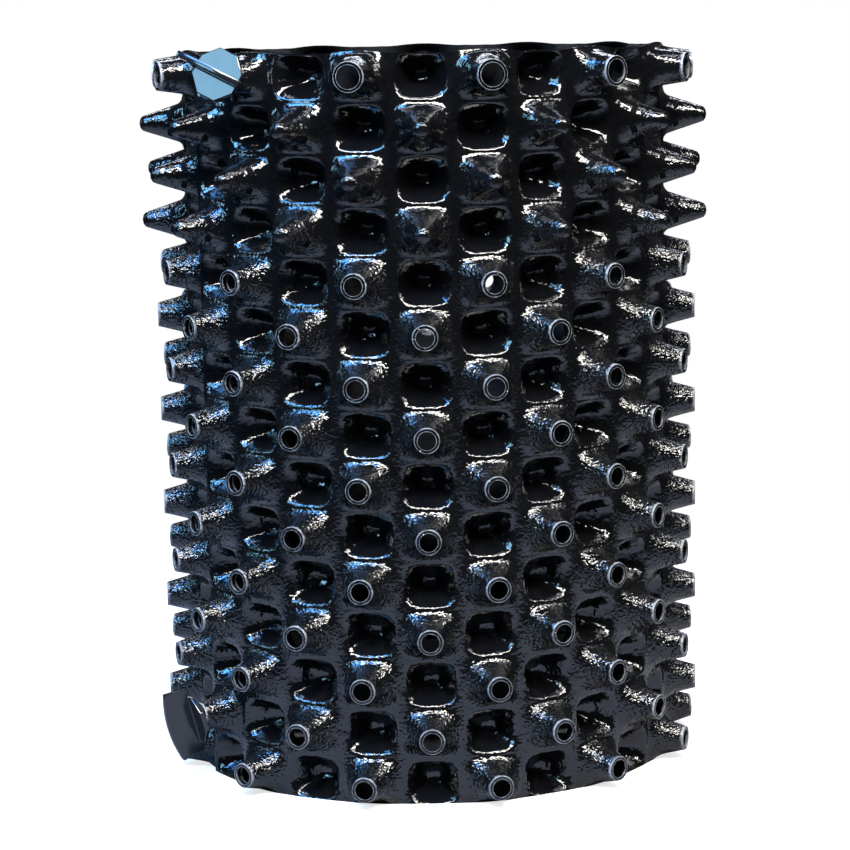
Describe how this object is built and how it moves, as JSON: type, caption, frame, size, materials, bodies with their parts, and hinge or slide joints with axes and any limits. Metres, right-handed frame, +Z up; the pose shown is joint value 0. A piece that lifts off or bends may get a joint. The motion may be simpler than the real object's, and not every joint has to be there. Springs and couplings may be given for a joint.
{
  "type": "air pruning pot",
  "caption": "Air pruning pot: a rolled black sheet of outward cones and inward dimples, closed by two thumb screws, with a slotted base disc.",
  "frame": {"origin": "centre of the tube at its lower edge, on the surface that the pot stands on", "axes": "+Z up along the tube, -Y to the front, +X to the right seen from the front; the overlap of the sheet is to the left of the front"},
  "size_m": [0.2956, 0.297, 0.3758],
  "materials": {
    "black_sheet": "glossy thermoformed black polyethylene sheet",
    "black_base": "matt moulded black plastic",
    "black_screw": "glossy injection moulded black plastic"
  },
  "bodies": {
    "root": {"wall_sheet": "black_sheet", "base_disc": "black_base", "top_screw": "black_screw", "bottom_screw": "black_screw"}
  },
  "joints": []
}
